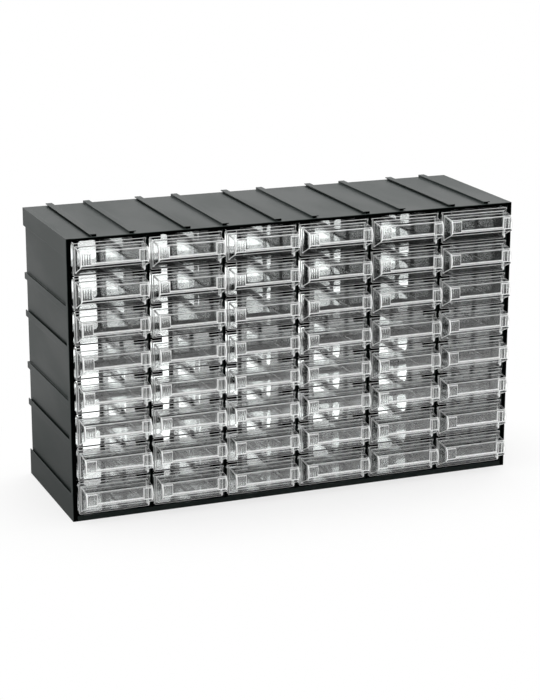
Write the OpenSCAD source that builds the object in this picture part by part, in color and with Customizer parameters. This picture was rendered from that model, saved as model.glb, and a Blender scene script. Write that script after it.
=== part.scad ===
// Parts bin cabinet: a ribbed moulded casing with clear slide-out drawers.
// Millimetres, +Z up, front towards -Y, origin under the middle of the whole
// cabinet on the surface that it stands on. The casing grows from its drawers:
// cells, ledges and panels all take their sizes from the drawer and its gaps.

/* [Drawer] */
// Number of drawers across
cols = 6; // [2:1:6]
// Number of drawers from base to top
rows = 8; // [2:1:8]
// Width of a drawer over its rim
drawer_w = 94; // [70:0.5:130]
// Height of a drawer from its floor to its rim
drawer_h = 40.6; // [39:0.2:60]
// Length of a drawer's tub from its front wall to its rear wall
drawer_d = 195.5; // [120:0.5:260]
// Thickness of the drawer's walls and floor
tub_wall = 1.5; // [1.2:0.1:2]
// Radius along the tub's two lower edges
tub_round = 2.5; // [2.2:0.1:6]
// How far the rim stands out beyond the tub's sides
rim_out = 1; // [0.6:0.1:1.4]
// Height of the rim's band
rim_h = 2; // [1.4:0.1:2.6]

/* [Drawer nose] */
// How far the nose's cheeks stand in from the tub's sides
nose_in = 2.8; // [0:0.2:6]
// How far the label plate stands in front of the casing
plate_out = 21; // [16:0.5:28]
// Height of the label plate's top edge above the drawer's floor
plate_top = 34; // [28:0.2:34.4]
// Height of the label plate's bottom edge above the drawer's floor
plate_low = 14; // [11:0.5:18]
// Height of the cheeks' lower rear corners above the drawer's floor
cheek_low = 4; // [2:0.5:8]
// Height at which the brow leaves the drawer's front wall
brow_high = 36.3; // [35.5:0.1:36.4]
// How far the brow's crease, where it turns steeper, stands in front of the casing
crease_out = 10; // [6:0.5:14]
// Height of the brow's crease above the drawer's floor
crease_high = 35.3; // [34.5:0.1:35.4]
// How far the cheeks' round front edges stand in front of the label plate
fin_out = 4; // [3:0.5:6]
// Height of the bar along the label plate's foot
foot_bar_h = 3.6; // [2.4:0.2:5]
// How far that bar stands in front of the label plate
foot_bar_out = 2; // [1:0.2:2.8]
// Width of the pad left of the label
pad_left_w = 13; // [8:0.5:20]
// Width of the pad right of the label
pad_right_w = 10; // [5:0.5:16]
// How far the pads stand in front of the label plate
pad_out = 1.4; // [0.8:0.1:2]
// How far the pads' top edges lie below the label plate's
pad_drop = 2.4; // [0.4:0.2:4]
// Height of the thin lip that keeps a label in
label_lip_h = 1; // [0.6:0.1:1.6]

/* [Fits] */
// Gap under a drawer, above its ledges
rest_gap = 0.3; // [0.2:0.05:0.6]
// Gap on each side of a drawer
side_gap = 0.9; // [0.5:0.1:1.4]
// Gap above a drawer's rim, below the next ledge
head_gap = 0.6; // [0.4:0.1:1]
// Gap behind a closed drawer
rear_gap = 1.5; // [0.5:0.1:3]

/* [Casing] */
// Thickness of the side panels' walls, without their rails
side_wall = 3.1; // [2:0.1:5]
// Thickness of the dividers
divider_t = 2.6; // [2:0.1:4]
// Thickness of the back panel
back_t = 3; // [2:0.1:5]
// Thickness of the top panel
top_t = 3.6; // [3:0.1:8]
// Height of the bottom panel over its ribs
base_h = 6.4; // [5:0.1:12]
// Thickness of the bottom panel's floor above its ribs
base_floor = 3; // [2:0.1:4]
// Thickness of the bottom panel's ribs and skirt
base_rib = 4; // [2.6:0.2:8]
// Depth of the flat strip down each side panel's front edge
flange_d = 7.5; // [5:0.5:12]
// Small chamfer along the casing's front outer edges
edge_cut = 0.6; // [0.3:0.1:1]

/* [Ledges and stops] */
// Thickness of the ledges that the drawers slide on
ledge_t = 2; // [1.8:0.1:4]
// Width of flat drawer floor that each ledge carries
seat_w = 1.5; // [1:0.5:8]
// Distance from the casing's front to the ledges' front ends
ledge_in = 5; // [2.5:0.5:10]
// How far the wide front ends of the dividers' ledges stand out
stop_w = 17; // [12:0.5:22]
// Depth of those wide front ends
stop_l = 12; // [6:1:30]
// How far the stop lips hang below those front ends, into the drawers
lip_drop = 4.9; // [2:0.1:6]
// Thickness of a stop lip along the drawer's travel
lip_t = 2.5; // [1.5:0.5:4]
// Gap between a stop lip and the inside of the drawer's wall
lip_gap = 0.6; // [0.4:0.1:1.5]

/* [Windows] */
// Height of the dividers' window sills above the drawers' ledges
sill_h = 6; // [5:1:12]
// Height of the web between the dividers' windows and the ledges above
lintel_h = 7; // [4:1:12]
// Corner radius of the dividers' windows
window_round = 12; // [3:1:14]
// Distance from a divider's front edge to its windows
post_front = 88; // [20:1:90]
// Distance from a divider's windows to its rear edge
post_rear = 14; // [8:1:30]
// Height of the back panel's window sills above the drawers' ledges
back_sill_h = 15; // [8:1:18]
// Height of the bar between the back panel's windows and the ledge above
back_lintel_h = 2; // [1:0.5:8]
// Corner radius of the back panel's windows
back_round = 4; // [1:1:10]
// Number of windows behind each drawer
back_windows = 3; // [1:1:4]
// Width of the posts between those windows
back_post = 5; // [3:1:8]
// Width of the back panel's solid strip on each side of a divider
back_side = 6; // [4:1:15]

/* [Rails] */
// Distance from one pair of rails to the next
rail_pitch = 120; // [90:5:150]
// Distance between the two rails of a pair
rail_pair = 50; // [30:1:60]
// Width of a rail over its lip
rail_w = 8.5; // [6:0.5:12]
// How far the rails stand out of the panels
rail_h = 3; // [2:0.1:4]
// Depth of the undercut below a rail's lip
rail_under = 2.6; // [1:0.1:4]
// Thickness of a rail's lip
rail_lip = 1.2; // [0.8:0.1:1.6]
// Distance from the top panel's front edge to its rails
rail_in = 2.5; // [1:0.5:10]
// Height of the plain band along the foot of each side panel
band_low = 34.5; // [20:0.5:50]
// Height of the plain band along the top of each side panel
band_high = 23.5; // [15:0.5:50]
// Height of the middle of the lowest full pair of side rails
side_pair_z = 125.5; // [100:0.5:150]

/* [Hidden] */
side_names = ["left_panel", "right_panel"];
function divider_name(i) = str("divider_", i);
function drawer_name(r, c) = str("drawer_r", r, "_c", c);

eps = 0.01;
case_colour = "#4a4f4d";
drawer_colour = "#dfe5e6";

// A cell is the space of one drawer; pitches go from cell to cell.
cell_w = drawer_w + 2 * side_gap;
cell_h = rest_gap + drawer_h + head_gap;
col_pitch = cell_w + divider_t;
row_pitch = cell_h + ledge_t;

// The casing around the cells, with one more ledge than cells in its height
side_t = side_wall + rail_h;
inside_w = cols * cell_w + (cols - 1) * divider_t;
inside_h = rows * row_pitch + ledge_t;
case_w = inside_w + 2 * side_t;
case_h = base_h + inside_h + top_t;
case_d = drawer_d + rear_gap + back_t;

// The noses stand in front of the casing, and both share the middle of the depth
nose_out = plate_out + fin_out;
front_y = (nose_out - case_d) / 2;
back_y = front_y + case_d;
back_front_y = back_y - back_t;
ceiling_z = case_h - top_t;

// Tub, rim and nose inside one drawer
tub_w = drawer_w - 2 * rim_out;
nose_w = tub_w - 2 * nose_in;
nose_inside_w = nose_w - 2 * tub_wall;
brow_fall = (crease_high - plate_top) / (plate_out - crease_out);
plate_h = plate_top - plate_low;
fin_r = (pow(plate_h / 2, 2) + pow(fin_out, 2)) / (2 * fin_out);
label_foot_z = plate_low + foot_bar_h;

// Ledges reach under the flat of the drawer's floor, past its round lower edges,
// and run from their front ends to the back panel
ledge_w = side_gap + rim_out + tub_round + seat_w;
ledge_y = front_y + ledge_in;
ledge_l = back_front_y - ledge_y;
lip_x = side_gap + rim_out + tub_wall + lip_gap;

// Row 1 is the highest. Each row's ledge has its top at floor_z(row), and the
// ledge of row 0 is the one over the highest drawers.
function cell_x(c) = (c - (cols + 1) / 2) * col_pitch;
function divider_x(i) = (i - cols / 2) * col_pitch;
function floor_z(r) = base_h + ledge_t + (rows - r) * row_pitch;

// Rails come in pairs, centred over the width, and up the sides from the lowest pair
rail_pairs = floor(case_w / rail_pitch);
top_rail_x = [for (i = [1 : rail_pairs]) (i - (rail_pairs + 1) / 2) * rail_pitch];
side_rail_z = [for (z = [side_pair_z : rail_pitch : case_h]) z];
function between_bands(z) = z - rail_w > band_low && z + rail_w < case_h - band_high;

// ---- Shapes used by several parts ----

// Extrudes an outline drawn in x and z from depth y0 to depth y1
module along_y(y0, y1) {
    translate([0, y1, 0]) rotate([90, 0, 0]) linear_extrude(y1 - y0) children();
}

// Extrudes an outline drawn in depth and z from x0 to x1
module along_x(x0, x1) {
    translate([x0, 0, 0]) rotate([90, 0, 90]) linear_extrude(x1 - x0) children();
}

// Rectangle from [0, 0] with four round corners
module round_window(w, h, corner) {
    r = min(corner, w / 2 - eps, h / 2 - eps);
    translate([r, 0]) square([w - 2 * r, h]);
    translate([0, r]) square([w, h - 2 * r]);
    for (x = [r, w - r], y = [r, h - r]) translate([x, y]) circle(r, $fn = 48);
}

// Cross-section of a rail on a surface at z = 0, with its lip towards -x
module rail_section() {
    under = rail_h - rail_lip;
    polygon([
        [rail_under - rail_w / 2, 0], [rail_w / 2, 0], [rail_w / 2, rail_h],
        [-rail_w / 2, rail_h], [-rail_w / 2, under], [rail_under - rail_w / 2, under]
    ]);
}

// A pair of rail sections, their lips pointing away from each other
module rail_pair_section() {
    for (side = [0, 1]) mirror([side, 0]) translate([-rail_pair / 2, 0]) rail_section();
}

// Ledges that stand out towards +x from a wall at x = 0: one under each row of
// drawers, and one over the highest row
module ledges() {
    for (r = [0 : rows])
        translate([0, ledge_y, floor_z(r) - ledge_t]) cube([ledge_w, ledge_l, ledge_t]);
}

// Wide front ends of a divider's ledges. From each over a drawer a lip hangs into it,
// behind its front wall, where the open drawer's rear wall meets the lip.
module stops() {
    for (r = [0 : rows]) translate([0, ledge_y, floor_z(r) - ledge_t]) {
        cube([stop_w, stop_l, ledge_t]);
        if (r < rows) translate([lip_x, 0, -lip_drop])
            cube([stop_w - lip_x, lip_t, lip_drop + eps]);
    }
}

// ---- Casing ----

// Outer face of a side panel in depth and height: bands, rails and front flange.
// Drawn for the left side: inner face at x = 0, outside towards -x.
module side_skin() {
    cut = edge_cut;
    translate([-side_wall, front_y, 0]) cube([side_wall, case_d, case_h]);
    linear_extrude(case_h) polygon([
        [0, front_y], [cut - side_t, front_y], [-side_t, front_y + cut],
        [-side_t, front_y + flange_d], [0, front_y + flange_d]
    ]);
    along_y(front_y + flange_d - eps, back_y) side_bands();
}

// Bands and rails of the left side, drawn in x and z outside the panel's wall
module side_bands() {
    lip_x = rail_lip - side_t;
    polygon([
        [-side_wall + eps, 0], [-side_t, 0], [-side_t, band_low], [lip_x, band_low],
        [lip_x, band_low - rail_under], [-side_wall + eps, band_low - rail_under]
    ]);
    translate([0, case_h]) mirror([0, 1]) polygon([
        [-side_wall + eps, 0], [-side_t, 0], [-side_t, band_high], [lip_x, band_high],
        [lip_x, band_high - rail_under], [-side_wall + eps, band_high - rail_under]
    ]);
    for (z = side_rail_z, side = [-1, 1])
        if (between_bands(z + side * rail_pair / 2))
            translate([-side_wall, z + side * rail_pair / 2])
                rotate(90) mirror([side < 0 ? 1 : 0, 0]) rail_section();
}

module side_panel() {
    color(case_colour) translate([-inside_w / 2, 0, 0]) {
        side_skin();
        ledges();
    }
}

module left_panel() { side_panel(); }

module right_panel() { mirror([1, 0, 0]) side_panel(); }

// Flat panel between the side panels, with the rails that the next cabinet slides on
module top_panel() {
    cut = edge_cut;
    color(case_colour) {
        along_x(-inside_w / 2, inside_w / 2) polygon([
            [front_y, ceiling_z], [back_y, ceiling_z], [back_y, case_h],
            [front_y + cut, case_h], [front_y, case_h - cut]
        ]);
        along_y(front_y + rail_in, back_y)
            for (x = top_rail_x) translate([x, case_h]) rail_pair_section();
    }
}

// Floor of the lowest cells, on a skirt with one rib under each divider
module bottom_panel() {
    pocket_l = case_d - 2 * base_rib;
    color(case_colour) difference() {
        translate([-inside_w / 2, front_y, 0]) cube([inside_w, case_d, base_h]);
        for (c = [1 : cols]) {
            x0 = c == 1 ? base_rib - inside_w / 2 : divider_x(c - 1) + base_rib / 2;
            x1 = c == cols ? inside_w / 2 - base_rib : divider_x(c) - base_rib / 2;
            translate([x0, front_y + base_rib, -eps])
                cube([x1 - x0, pocket_l, base_h - base_floor + eps]);
        }
    }
}

// Lattice behind the drawers, with a row of round-cornered windows in each cell
module back_panel() {
    span = cell_w - 2 * back_side;
    pitch = (span + back_post) / back_windows;
    window_h = cell_h - back_sill_h - back_lintel_h;
    color(case_colour) along_y(back_front_y, back_y) difference() {
        translate([-inside_w / 2, base_h]) square([inside_w, inside_h]);
        for (r = [1 : rows], c = [1 : cols], i = [0 : back_windows - 1])
            translate([cell_x(c) - span / 2 + i * pitch, floor_z(r) + back_sill_h])
                round_window(pitch - back_post, window_h, back_round);
    }
}

// Upright wall between two columns: solid beside the front half of each drawer,
// with a round-ended window beside its rear half
module divider_web() {
    window_y = front_y + post_front;
    window_l = back_front_y - post_rear - window_y;
    window_h = cell_h - sill_h - lintel_h;
    along_x(-divider_t / 2, divider_t / 2) difference() {
        translate([front_y, base_h]) square([back_front_y - front_y, inside_h]);
        for (r = [1 : rows])
            translate([window_y, floor_z(r) + sill_h]) round_window(window_l, window_h, window_round);
    }
}

module divider(i) {
    color(case_colour) translate([divider_x(i), 0, 0]) {
        divider_web();
        for (side = [0, 1]) mirror([side, 0, 0]) translate([divider_t / 2, 0, 0]) {
            ledges();
            stops();
        }
    }
}

// ---- Drawer ----
// Drawn with its front wall's outer face at y = 0, its rear towards +y,
// its floor at z = 0 and its middle at x = 0.

// The tub's cross-section, smaller all round by inset and open upwards to top_z
module tub_section(inset, top_z) {
    w = tub_w - 2 * inset;
    r = tub_round - inset;
    translate([-w / 2, inset + r]) square([w, top_z - inset - r]);
    translate([r - w / 2, inset]) square([w - 2 * r, r + eps]);
    for (side = [-1, 1]) translate([side * (w / 2 - r), inset + r]) circle(r, $fn = 48);
}

module tub() {
    difference() {
        union() {
            along_y(0, drawer_d) tub_section(0, drawer_h);
            translate([-drawer_w / 2, 0, drawer_h - rim_h]) cube([drawer_w, drawer_d, rim_h]);
        }
        along_y(tub_wall, drawer_d - tub_wall) tub_section(tub_wall, drawer_h + eps);
    }
}

// Outline of a cheek in depth and height, with its round front edge
module cheek_outline() {
    polygon([
        [0, cheek_low], [-plate_out, plate_low], [-plate_out, plate_top],
        [-crease_out, crease_high], [0, brow_high]
    ]);
    intersection() {
        translate([fin_r - nose_out, (plate_low + plate_top) / 2]) circle(fin_r, $fn = 96);
        translate([-nose_out, plate_low]) square([fin_out + eps, plate_h]);
    }
}

// The space under the hood, open downwards for the fingers
module hood_space() {
    under_y = tub_wall - plate_out;
    under_z = plate_top - tub_wall * (1 - brow_fall);
    polygon([
        [0, -eps], [under_y, -eps], [under_y, under_z],
        [-crease_out, crease_high - tub_wall], [0, brow_high - tub_wall]
    ]);
}

// Hood that the fingers pull on: sloping brow, upright label plate and two cheeks
module hood() {
    difference() {
        along_x(-nose_w / 2, nose_w / 2) cheek_outline();
        along_x(-nose_inside_w / 2, nose_inside_w / 2) {
            hood_space();
            translate([-nose_out - eps, 0]) square([fin_out + eps, drawer_h]);
        }
    }
}

// Foot bar, side pads and thin lip that hold a paper label against the plate
module label_holder() {
    module block(x0, x1, z0, z1, out)
        translate([x0, -plate_out - out, z0]) cube([x1 - x0, out + eps, z1 - z0]);
    edge = nose_inside_w / 2 + eps;
    label_left = pad_left_w - edge;
    label_right = edge - pad_right_w;
    lip_z = label_foot_z + label_lip_h;
    pad_top = plate_top - pad_drop;
    block(-nose_w / 2, nose_w / 2, plate_low, label_foot_z, foot_bar_out);
    block(-edge, label_left, label_foot_z - eps, pad_top, pad_out);
    block(label_right, edge, label_foot_z - eps, pad_top, pad_out);
    block(label_left - eps, label_right + eps, lip_z, lip_z + label_lip_h, pad_out);
}

module drawer(r, c) {
    color(drawer_colour) translate([cell_x(c), front_y, floor_z(r) + rest_gap]) {
        tub();
        hood();
        label_holder();
    }
}

left_panel();
right_panel();
top_panel();
bottom_panel();
back_panel();
for (i = [1 : cols - 1])
    divider(i);
for (r = [1 : rows], c = [1 : cols])
    drawer(r, c);
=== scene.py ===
# %% [markdown]
# # A parts cabinet with clear drawers
# The cabinet has a dark casing of moulded polystyrene and 48 clear drawers that
# slide on ledges inside it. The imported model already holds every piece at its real
# size and place. What is left to do here is the finish: soft edges, a moulded
# surface, clear plastic that bends the light, a studio around it and a camera.
# All lengths are in metres.

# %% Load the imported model
import math

import bmesh
import bpy
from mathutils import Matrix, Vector


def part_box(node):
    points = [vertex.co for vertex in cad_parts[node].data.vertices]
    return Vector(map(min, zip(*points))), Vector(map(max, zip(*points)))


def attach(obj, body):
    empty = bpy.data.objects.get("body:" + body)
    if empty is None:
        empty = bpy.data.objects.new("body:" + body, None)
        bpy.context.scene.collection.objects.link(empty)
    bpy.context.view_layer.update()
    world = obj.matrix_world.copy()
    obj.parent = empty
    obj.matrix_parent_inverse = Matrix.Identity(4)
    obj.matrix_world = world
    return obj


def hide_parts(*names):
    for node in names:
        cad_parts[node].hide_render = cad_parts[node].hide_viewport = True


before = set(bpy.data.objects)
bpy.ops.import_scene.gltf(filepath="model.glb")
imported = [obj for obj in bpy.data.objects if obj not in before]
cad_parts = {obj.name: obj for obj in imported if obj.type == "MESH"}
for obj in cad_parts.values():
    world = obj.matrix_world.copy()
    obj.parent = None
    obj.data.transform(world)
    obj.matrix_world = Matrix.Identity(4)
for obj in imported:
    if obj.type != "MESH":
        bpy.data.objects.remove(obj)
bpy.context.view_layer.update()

drawer_nodes = [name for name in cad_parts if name.startswith("drawer")]
casing_nodes = [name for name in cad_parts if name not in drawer_nodes]
print("casing nodes:", len(casing_nodes), "drawers:", len(drawer_nodes))

# %% [markdown]
# ## Where we stand
# The camera stands a little left of the middle and looks slightly down, so that it
# sees the front, the left side and the top. A long lens from a good distance keeps
# the cabinet's edges nearly parallel, as in a catalogue. The point that it looks at,
# the two angles and the distance are all it needs. The colours are shown plainly,
# with no film look over them.

# %% Camera
scene = bpy.context.scene
scene.view_settings.view_transform = "Standard"

LOOK_AT = Vector((-0.0373, -0.0875, 0.1953))
TURN, RISE = math.radians(-21.45), math.radians(15.74)
DISTANCE = 2.619
LENS_MM, SENSOR_MM = 106.7, 36

towards_camera = Vector((
    math.sin(TURN) * math.cos(RISE),
    -math.cos(TURN) * math.cos(RISE),
    math.sin(RISE),
))
camera = bpy.data.objects.new("camera", bpy.data.cameras.new("camera"))
camera.data.lens = LENS_MM
camera.data.sensor_width = SENSOR_MM
camera.location = LOOK_AT + DISTANCE * towards_camera
camera.rotation_euler = towards_camera.to_track_quat("Z", "Y").to_euler()
scene.collection.objects.link(camera)
scene.camera = camera
print("camera at", [round(x, 3) for x in camera.location])

# %% [markdown]
# ## Shader maths that reads like maths
# A material is a tree of nodes joined by wires. Written node by node it is long and
# hard to follow. A small class around one output socket lets Python's own operators
# add the Math nodes, so that `0.4 + 0.1 * grain` is a line of code and also a piece
# of the tree. Every other kind of node comes from one method.

# %% The wire class
class Wire:
    """The output of a node. Arithmetic on it adds Math nodes to the same tree."""

    def __init__(self, socket):
        self.socket = socket

    @classmethod
    def add(cls, tree, kind, settings=None, inputs=None, output=0):
        """Adds a node: first its settings, then the values or wires of its sockets."""
        node = tree.nodes.new(kind)
        for name, value in (settings or {}).items():
            setattr(node, name, value)
        for name, value in (inputs or {}).items():
            if isinstance(value, Wire):
                tree.links.new(value.socket, node.inputs[name])
            else:
                node.inputs[name].default_value = value
        return cls(node.outputs[output]) if len(node.outputs) else None

    def out(self, name):
        """Another output of the same node."""
        return Wire(self.socket.node.outputs[name])

    def maths(self, operation, *terms):
        tree = self.socket.id_data
        return Wire.add(tree, "ShaderNodeMath", {"operation": operation}, dict(enumerate(terms)))

    def __add__(self, other):
        return self.maths("ADD", self, other)

    __radd__ = __add__

    def __sub__(self, other):
        return self.maths("SUBTRACT", self, other)

    def __rsub__(self, other):
        return self.maths("SUBTRACT", other, self)

    def __mul__(self, other):
        return self.maths("MULTIPLY", self, other)

    __rmul__ = __mul__

    def ease(self, start, end, low=0, high=1):
        """Runs smoothly from low to high while the wire runs from start to end."""
        return Wire.add(
            self.socket.id_data, "ShaderNodeMapRange", {"interpolation_type": "SMOOTHSTEP"},
            {"Value": self, "From Min": start, "From Max": end, "To Min": low, "To Max": high},
        )


print("wire class ready")

# %% [markdown]
# A few helpers name what the finishes below ask for most: a place on the piece in
# metres, soft random blotches, a colour between two colours, and a bump. A bump
# changes only how the surface catches the light, so it suits marks that are less
# than a few tenths of a millimetre high.

# %% Helpers for finishes
def place(tree, stretch=(1, 1, 1)):
    """The place on the piece, in metres, stretched along its axes."""
    spot = Wire.add(tree, "ShaderNodeTexCoord", output="Object")
    return Wire.add(tree, "ShaderNodeMapping", {}, {"Vector": spot, "Scale": stretch})


def blotches(tree, where, per_metre, detail=2.0):
    """Soft random blotches with values round 0.5."""
    return Wire.add(
        tree, "ShaderNodeTexNoise", {}, {"Vector": where, "Scale": per_metre, "Detail": detail}
    )


def between(tree, share, first, second):
    """The colour that lies that share of the way from the first to the second."""
    settings = {"data_type": "RGBA"}
    return Wire.add(tree, "ShaderNodeMix", settings, {0: share, 6: first, 7: second}, output=2)


def bump(tree, height, metres):
    """Slopes of a surface that is metres higher where height is 1 than where it is 0."""
    return Wire.add(tree, "ShaderNodeBump", {}, {"Height": height, "Distance": metres})


def start(name):
    """A new material and its empty tree."""
    material = bpy.data.materials.new(name)
    material.use_nodes = True
    material.node_tree.nodes.clear()
    return material, material.node_tree


def coat(tree, inputs):
    """Ends a tree with the Principled shader, which takes these inputs."""
    surface = Wire.add(tree, "ShaderNodeBsdfPrincipled", {}, inputs)
    Wire.add(tree, "ShaderNodeOutputMaterial", {}, {"Surface": surface})


print("finish helpers ready")

# %% [markdown]
# ## The casing's plastic
# The casing is dark grey polystyrene, moulded against fine spark-eroded steel. It has
# a satin look: nearly black where little light reaches it, and grey where it mirrors
# a bright room at a flat angle. So its own colour is very dark and the grey comes
# from the gloss, whose tint is faintly green. Three small things make it real: a fine
# grain, broad clouds where the plastic flowed and cooled unevenly, and a roughness
# that follows both. The clouds are stretched from front to back, as the plastic ran.

# %% Casing plastic
DARK_GREY = (0.0066, 0.0110, 0.0098, 1)
CLOUD_GREY = (0.0096, 0.0148, 0.0133, 1)
CASING_GLOSS = 0.22
CASING_SHEEN = (0.91, 1.0, 0.975, 1)
CLOUDS_PER_METRE = 14
CLOUD_STRETCH = (1, 0.35, 1)
GRAIN_PER_METRE = 1800
GRAIN_HEIGHT = 0.00003


def casing_plastic():
    material, tree = start("casing_plastic")
    flow = blotches(tree, place(tree, CLOUD_STRETCH), CLOUDS_PER_METRE, detail=4)
    grain = blotches(tree, place(tree), GRAIN_PER_METRE, detail=1)
    clouds = flow.ease(0.35, 0.65)
    coat(tree, {
        "Base Color": between(tree, clouds, DARK_GREY, CLOUD_GREY),
        "Roughness": 0.40 + 0.06 * clouds + 0.05 * grain,
        "Specular IOR Level": CASING_GLOSS,
        "Specular Tint": CASING_SHEEN,
        "Normal": bump(tree, grain, GRAIN_HEIGHT),
    })
    return material


casing_finish = [casing_plastic()]
print("made", casing_finish[-1].name)

# %% [markdown]
# Edges are touched, pushed and wiped far more often than faces, and the steel mould
# is polished there. A rubbed edge is smoother than the face. Its paler colour is partly
# wear and partly a painted highlight along every edge. It gets a material of its own,
# which the bevels below carry.

# %% Rubbed edges of the casing, with a painted highlight
# Paler than the face: partly wear, partly a painted highlight.
WORN_AND_HIGHLIGHT_GREY = (0.027, 0.034, 0.032, 1)
RUBBED_GLOSS = 1.4 * CASING_GLOSS
RUBS_PER_METRE = 60


def casing_edges():
    material, tree = start("casing_edges")
    wear_and_highlight = blotches(tree, place(tree), RUBS_PER_METRE, detail=3).ease(0.4, 0.65)
    coat(tree, {
        "Base Color": between(tree, wear_and_highlight, CLOUD_GREY, WORN_AND_HIGHLIGHT_GREY),
        "Roughness": 0.42 - 0.12 * wear_and_highlight,
        "Specular IOR Level": RUBBED_GLOSS,
        "Specular Tint": CASING_SHEEN,
    })
    return material


casing_finish.append(casing_edges())
print("made", casing_finish[-1].name)

# %% [markdown]
# Seen from the front, the casing is only a black grid between the drawers. Its
# forward faces get a copy of the plastic in painted shade: near black and with no
# gloss, so they mirror next to nothing of the room. Only the bottom panel's front edge
# is satin like the rest, and shows as a dark grey bar.

# %% Front of the casing in painted shade
# The forward faces' painted shade: no gloss and a near-black colour, far darker than the
# casing's own grey.
FRONT_SHADE_GLOSS = 0.0
FRONT_SHADE_BLACK = (0.0006, 0.0008, 0.0007, 1)
FRONT_SHADE_GREY = (0.0012, 0.0015, 0.0014, 1)


def casing_front_painted_shade():
    material, tree = start("casing_front_painted_shade")
    grain = blotches(tree, place(tree), GRAIN_PER_METRE, detail=1)
    coat(tree, {
        "Base Color": between(tree, grain, FRONT_SHADE_BLACK, FRONT_SHADE_GREY),
        "Roughness": 0.6 + 0.1 * grain,
        "Specular IOR Level": FRONT_SHADE_GLOSS,
        "Normal": bump(tree, grain, GRAIN_HEIGHT),
    })
    return material


casing_finish.append(casing_front_painted_shade())
SATIN, WORN_AND_HIGHLIT, SHADED_FRONT = range(3)
print("made", casing_finish[-1].name)

# %% [markdown]
# ## The drawers' clear plastic
# The drawers are as clear as glass. A drawer is dark where it shows the casing behind
# it, white where light comes through, and its walls' edges glow because the light runs
# along inside them. No colour can imitate that, so the shader is a true clear one. Its
# refractive index of 1.46 is a little under that of polystyrene, because one looks
# through ten or more walls in a row here, and each wall takes its share of the light.
# A moulded wall is never quite flat, so long soft waves in its normal bend the
# reflections. The colour has a faint grey-green in it, which adds up over many walls.

# %% Clear plastic
CLEAR = (0.972, 0.982, 0.979, 1)
PLASTIC_IOR = 1.46
WAVES_PER_METRE = 30
WAVE_STRETCH = (1, 0.5, 1.6)
WAVE_HEIGHT = 0.00008


def clear_plastic(name, index, wave_height):
    material, tree = start(name)
    waves = blotches(tree, place(tree, WAVE_STRETCH), WAVES_PER_METRE, detail=1)
    coat(tree, {
        "Base Color": CLEAR,
        "Roughness": 0.0,
        "IOR": index,
        "Transmission Weight": 1.0,
        "Normal": bump(tree, waves, wave_height),
    })
    return material


drawer_finish = [clear_plastic("clear_plastic", PLASTIC_IOR, WAVE_HEIGHT)]
print("made", drawer_finish[-1].name)

# %% [markdown]
# Light that enters a clear wall runs along inside it and comes out at its edges, so
# the narrow edge faces of a drawer glow: rim, brow, plate and label holder all show
# as fine white lines. Following that light would take far too many rays. The edge
# faces get a pale opaque colour instead, a painted glow with a frosted gloss, which
# looks the same from every side. Fine scuffs break up its gloss.

# %% Painted glow on the drawers' edges
# Painted glow: a pale, opaque colour on the drawers' edge faces.
PAINTED_GLOW_WHITE = (0.90, 0.91, 0.907, 1)
SCUFFS_PER_METRE = 400
SCUFF_HEIGHT = 0.0001


def clear_edges():
    material, tree = start("clear_edges")
    scuffs = blotches(tree, place(tree), SCUFFS_PER_METRE, detail=2)
    coat(tree, {
        "Base Color": PAINTED_GLOW_WHITE,
        "Roughness": 0.3,
        "IOR": PLASTIC_IOR,
        "Normal": bump(tree, scuffs, SCUFF_HEIGHT),
    })
    return material


drawer_finish.append(clear_edges())
print("made", drawer_finish[-1].name)

# %% [markdown]
# The two pads beside a label are frosted and finely ribbed, so that a thumb finds
# them. The ribs run upwards. They are far too fine to model and go into the bump.

# %% Ribbed pads
PAD_FROST = (0.95, 0.96, 0.955, 1)
RIBS_PER_METRE = 650
RIB_HEIGHT = 0.0002


def ribbed_pads():
    material, tree = start("ribbed_pads")
    ribs = Wire.add(
        tree, "ShaderNodeTexWave", {"wave_profile": "SIN"},
        {"Vector": place(tree), "Scale": RIBS_PER_METRE / math.tau, "Distortion": 0.3},
    )
    coat(tree, {
        "Base Color": PAD_FROST,
        "Roughness": 0.1,
        "IOR": PLASTIC_IOR,
        "Transmission Weight": 0.93,
        "Normal": bump(tree, ribs, RIB_HEIGHT),
    })
    return material


drawer_finish.append(ribbed_pads())
print("made", drawer_finish[-1].name)

# %% [markdown]
# The side walls stand almost in line with the view. A perfectly flat pane would mirror
# the lattice behind the drawer as one sharp picture there, more than a moulded wall
# does. Higher waves and a lower index weaken that picture and break it up.

# %% Wavy side walls
SIDE_IOR = 1.25
SIDE_WAVE_HEIGHT = 0.00012

drawer_finish.append(clear_plastic("clear_side_walls", SIDE_IOR, SIDE_WAVE_HEIGHT))
CLEAR_WALL, PALE_EDGE, PAD, SIDE_WALL = range(4)
print("made", drawer_finish[-1].name)

# %% [markdown]
# ## Soft edges
# No moulded edge is perfectly sharp. A round of a third of a millimetre is small, but
# it catches a line of light that tells the eye how big a thing is. The imported meshes
# are made of many triangles, so each copy is first welded and its flat faces are
# joined. Two small tests of a face, which come in as functions, say which faces are
# to be an edge's finish all over, and which get only a frame of it along their
# border. An inset makes that frame. Then every edge sharper than 30 degrees gets its
# round, in the edge's finish too, which is the second one of both lists above. That
# finish is paler than the face: wear and a painted highlight on the casing, a painted
# glow on the drawers. Last, the normals are weighted by face size, which keeps the
# flat faces flat.

# %% Copy a node with soft edges
WELD = 1e-6
FLAT = math.radians(0.5)
SHARP = math.radians(30)
ROUND = 0.0003
FRAME_LINE = 0.0005
EDGE_FINISH = 1


def width(face):
    """The width of a long narrow face."""
    return face.calc_area() / max(edge.calc_length() for edge in face.edges)


def round_edges(work, edges):
    """Rounds those edges and gives the rounds the edge's finish."""
    bmesh.ops.bevel(
        work, geom=edges, offset=ROUND, offset_type="OFFSET", segments=2, profile=0.5,
        affect="EDGES", clamp_overlap=False, miter_outer="ARC", material=EDGE_FINISH,
    )


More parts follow.
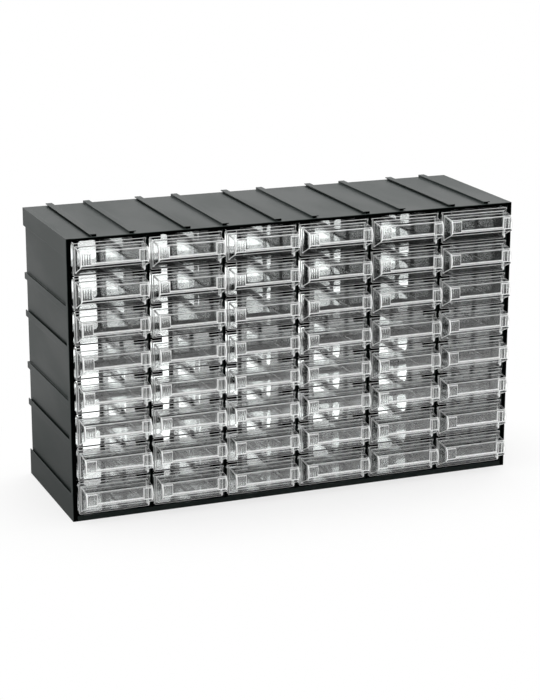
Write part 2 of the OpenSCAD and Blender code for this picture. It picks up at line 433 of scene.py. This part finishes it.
def frame_faces(work, faces):
    """Gives each of those faces a frame along its border, in the edge's finish."""
    rings = bmesh.ops.inset_individual(
        work, faces=faces, thickness=FRAME_LINE, use_even_offset=True
    )
    for face in rings["faces"]:
        face.material_index = EDGE_FINISH


def no_face(face):
    """A test that holds for no face."""
    return False


def soft_copy(node, finish, origin=Vector(), pale=no_face, framed=no_face):
    """A mesh like that node's, with its edges rounded and moved so origin is at zero."""
    work = bmesh.new()
    work.from_mesh(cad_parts[node].data)
    bmesh.ops.remove_doubles(work, verts=work.verts, dist=WELD)
    bmesh.ops.dissolve_limit(
        work, angle_limit=FLAT, verts=work.verts, edges=work.edges, delimit=set()
    )
    for face in work.faces:
        face.material_index = EDGE_FINISH if pale(face) else 0
    frame_faces(work, [face for face in work.faces if framed(face)])
    sharp = [e for e in work.edges if e.is_manifold and e.calc_face_angle() > SHARP]
    round_edges(work, sharp)
    bmesh.ops.translate(work, verts=work.verts, vec=-origin)
    for face in work.faces:
        face.smooth = True
    mesh = bpy.data.meshes.new(node + "_moulding")
    work.to_mesh(mesh)
    work.free()
    for material in finish:
        mesh.materials.append(material)
    return weighted(mesh)


def weighted(mesh):
    """The mesh with normals that follow its large faces."""
    carrier = bpy.data.objects.new("carrier", mesh)
    scene.collection.objects.link(carrier)
    carrier.modifiers.new("flat_faces", "WEIGHTED_NORMAL").weight = 100
    shown = carrier.evaluated_get(bpy.context.evaluated_depsgraph_get())
    result = bpy.data.meshes.new_from_object(shown)
    result.name = mesh.name
    bpy.data.objects.remove(carrier)
    return result


print("soft copies ready")

# %% [markdown]
# ## The casing
# Ten mouldings make the casing: two side panels, top, bottom, a lattice at the back
# and five upright dividers with the ledges. Each keeps its place and stands for its
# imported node.

# %% Casing mouldings
FORWARD = -0.9

for node in casing_nodes:
    mesh = soft_copy(node, casing_finish)
    # Forward faces, apart from the bottom panel's, get the front's painted shade.
    for face in mesh.polygons:
        if face.normal.y < FORWARD and node != "bottom_panel":
            face.material_index = SHADED_FRONT
    piece = bpy.data.objects.new(node + "_moulding", mesh)
    scene.collection.objects.link(piece)
    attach(piece, "casing")
    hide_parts(node)
    print(piece.name, len(mesh.polygons), "faces")

# %% [markdown]
# ## The drawers
# All 48 drawers come out of one mould, so one mesh serves them all, and only its
# place differs. That place is where the imported drawer stands. Each drawer rides on
# its own body, because each one slides by itself.
#
# The nose is the part in front of the casing. Two upright fins stand at its sides, and
# the pads and the label plate lie behind the fins' front edges. So the distance
# behind the foremost point tells which part of the nose a face belongs to. Narrow
# faces get the painted glow, apart from those in front of the plate, where only the
# fins do. A fin's front edge is an arc of many short faces, and their length tells them
# from the long faces of the label holder. The wide outer faces of the nose get a frame
# of painted glow.

# %% Which faces of a drawer glow
EDGE_FACE = 0.0026
PLATE_BEHIND_FINS = 0.0040
FIN_FACE = 0.01
SLACK = 0.0002

first_low = Vector(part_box(drawer_nodes[0])[0])
nose_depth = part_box("left_panel")[0][1] - first_low.y


def glows(face):
    """Whether that face is narrow. In front of the label plate only the fins glow."""
    depth = face.calc_center_median().y - first_low.y
    of_fin = face.normal.y < -0.5 and max(e.calc_length() for e in face.edges) < FIN_FACE
    return width(face) < EDGE_FACE and (of_fin or depth > PLATE_BEHIND_FINS + SLACK)


def outside_of_nose(face):
    """Whether that face is a wide outer face of the nose or of the wall behind it."""
    depth = face.calc_center_median().y - first_low.y
    outwards = face.normal.y < -0.5 or face.normal.z > 0.5 or abs(face.normal.x) > 0.5
    return outwards and depth < nose_depth + SLACK and width(face) > EDGE_FACE


print("the nose stands out", round(nose_depth, 4), "m")

# %% [markdown]
# The shared mesh is made once, and then three groups of its faces get their own
# finish: the pads, the two side walls, and everything else behind the front wall,
# which stays clear, rounds and narrow faces included. A glow that deep inside would
# only blur what one sees through the drawer.

# %% Drawer mouldings
PAD_BEHIND_FINS = 0.0026
SIDEWAYS = 0.9
SIDE_WALL_AREA = 0.002

drawer_mesh = soft_copy(drawer_nodes[0], drawer_finish, first_low, glows, outside_of_nose)
for face in drawer_mesh.polygons:
    at_pad = abs(face.center.y - PAD_BEHIND_FINS) < SLACK
    if face.material_index == CLEAR_WALL and at_pad:
        face.material_index = PAD
    if face.center.y > nose_depth + EDGE_FACE:
        side_wall = abs(face.normal.x) > SIDEWAYS and face.area > SIDE_WALL_AREA
        face.material_index = SIDE_WALL if side_wall else CLEAR_WALL

for node in drawer_nodes:
    node_low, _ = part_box(node)
    piece = bpy.data.objects.new(node + "_moulding", drawer_mesh)
    piece.location = node_low
    scene.collection.objects.link(piece)
    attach(piece, node)
    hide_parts(node)
print("one drawer has", len(drawer_mesh.polygons), "faces")

# %% [markdown]
# ## The studio
# Clear plastic shows nothing but its surroundings, so the surroundings matter as much
# as the object. The table and the walls are white to whatever looks at them through
# the plastic or straight from the camera. For what the surfaces mirror, the room is
# white behind and above the cabinet and dim in front, where a studio is dark. Light
# that comes through the plastic counts nearly double, which makes up for what many
# walls take from it. The wall behind is mirrored a little brighter than white, the
# more so higher up and further to the right, as a lit paper backdrop would be.

# %% How the room looks to each kind of ray
WHITE = (1, 1, 1, 1)
ROOM_AHEAD, ROOM_BEHIND = 0.08, 1.0
AMBIENT = 1.0
BACKDROP_UPWARDS, BACKDROP_RIGHTWARDS = 1.3, 1.25
SEEN_THROUGH = 1.8

world = bpy.data.worlds.new("studio")
world.use_nodes = True
world.node_tree.nodes.clear()
scene.world = world


def kinds_of_ray(tree):
    """Three masks: rays straight from the camera, refracted rays and mirrored rays.

    A refracted ray counts as glossy too, so mirrored leaves it out.
    """
    path = Wire.add(tree, "ShaderNodeLightPath")
    refracted = path.out("Is Transmission Ray")
    return path.out("Is Camera Ray"), refracted, (1 - refracted) * path.out("Is Glossy Ray")


def light_room():
    tree = world.node_tree
    straight, refracted, mirrored = kinds_of_ray(tree)
    direction = Wire.add(tree, "ShaderNodeTexCoord", output="Generated")
    parts = Wire.add(tree, "ShaderNodeSeparateXYZ", {}, {"Vector": direction})
    behind = parts.out("Y").ease(-0.5, 0.2, ROOM_AHEAD, ROOM_BEHIND)
    higher = parts.out("Z").ease(0, 0.2, 1, BACKDROP_UPWARDS)
    righter = parts.out("X").ease(0.2, 0.55, 1, BACKDROP_RIGHTWARDS)
    sharp = refracted * SEEN_THROUGH + mirrored * higher * righter
    level = sharp * behind + (1 - refracted - mirrored) * AMBIENT
    strength = straight + (1 - straight) * level
    surface = Wire.add(tree, "ShaderNodeBackground", {}, {"Color": WHITE, "Strength": strength})
    Wire.add(tree, "ShaderNodeOutputWorld", {}, {"Surface": surface})


light_room()
print("room: ahead", ROOM_AHEAD, "behind", ROOM_BEHIND)

# %% [markdown]
# The table is a plain white disc. Near the cabinet a third of its look is real light
# and shadow, so the cabinet stands on it and doesn't float. Further away it turns
# into the same white as the room, and no horizon shows. In front it falls off into
# the dim front of the room, which the upright label plates mirror. Right beside the
# cabinet a painted shadow makes the table mirror darker too, as if it stood in the
# cabinet's shade. Far behind on the left, where a studio's white table would end, it
# is dim when seen through the drawers.

# %% Table
TABLE_RADIUS = 6
TABLE_PALE = (0.86, 0.86, 0.855, 1)
SHADE_SHARE = 0.3
SHADE_STRETCH = (0.5, 1, 1)
MIRRORED_SHADOW_LEVEL = 0.35
FAR_LEFT_DIMMED = 0.8


def table_white():
    material, tree = start("table_white")
    straight, refracted, mirrored = kinds_of_ray(tree)
    spot = Wire.add(tree, "ShaderNodeTexCoord", output="Object")
    oval = Wire.add(tree, "ShaderNodeMapping", {}, {"Vector": spot, "Scale": SHADE_STRETCH})
    distance = Wire.add(
        tree, "ShaderNodeVectorMath", {"operation": "LENGTH"}, {0: oval}, output="Value"
    )
    away = distance.ease(0.12, 0.34)
    # Painted shadow: mirrored rays see the table darker close to the cabinet.
    dim = 1 - mirrored * (1 - distance.ease(0.08, 0.70, MIRRORED_SHADOW_LEVEL, 1))
    parts = Wire.add(tree, "ShaderNodeSeparateXYZ", {}, {"Vector": spot})
    ahead = parts.out("Y").ease(-1.3, -0.35, ROOM_AHEAD, 1)
    share = (straight + refracted + mirrored) * (1 - SHADE_SHARE * (1 - away))
    far_left = parts.out("X").ease(0, -0.2) * parts.out("Y").ease(0.6, 0.9)
    seen = SEEN_THROUGH * (1 - FAR_LEFT_DIMMED * far_left)
    through = refracted * seen + (1 - refracted)
    level = straight + (1 - straight) * ahead * dim * through
    lit = Wire.add(tree, "ShaderNodeBsdfDiffuse", {}, {"Color": TABLE_PALE})
    glow = Wire.add(tree, "ShaderNodeEmission", {}, {"Color": WHITE, "Strength": level})
    surface = Wire.add(tree, "ShaderNodeMixShader", {}, {0: share, 1: lit, 2: glow})
    Wire.add(tree, "ShaderNodeOutputMaterial", {}, {"Surface": surface})
    return material


def disc(name, radius, corners=96):
    shape = bmesh.new()
    bmesh.ops.create_circle(shape, cap_ends=True, radius=radius, segments=corners)
    mesh = bpy.data.meshes.new(name)
    shape.to_mesh(mesh)
    shape.free()
    return mesh


table = bpy.data.objects.new("table", disc("table", TABLE_RADIUS))
table.data.materials.append(table_white())
scene.collection.objects.link(table)
print("table radius", TABLE_RADIUS)

# %% [markdown]
# Two large soft lamps do the rest. The wider one hangs over the cabinet and a little
# behind it, and a weaker one stands at its left. Large lamps give soft shadows and
# broad, gentle reflections.

# %% Lamps
def softbox(name, where, width, watts):
    """A square lamp of that width that looks at the cabinet from that place."""
    data = bpy.data.lights.new(name, "AREA")
    data.shape = "SQUARE"
    data.size = width
    data.energy = watts
    lamp = bpy.data.objects.new(name, data)
    lamp.location = where
    lamp.rotation_euler = (Vector(where) - LOOK_AT).to_track_quat("Z", "Y").to_euler()
    lamp.visible_camera = False
    scene.collection.objects.link(lamp)
    print(name, watts, "W at", where)


softbox("overhead", (0.2, 0.5, 2.2), 1.8, 22)
softbox("left", (-2.2, -0.4, 1.2), 1.4, 4)

# %% [markdown]
# ## Room for the light to travel
# A ray that enters the front of a drawer passes its plate, its front wall, its rear
# wall and often the walls of its neighbours. Each is two surfaces. With Blender's
# usual limit the ray would give up and leave black patches, so it may turn more often.

# %% Ray limits
RAY_TURNS = 32

scene.cycles.max_bounces = RAY_TURNS
scene.cycles.transmission_bounces = RAY_TURNS
scene.cycles.glossy_bounces = RAY_TURNS // 2
print("a ray may turn", RAY_TURNS, "times")

# %% [markdown]
# ## The end

# %% Finish
print("scene script done")
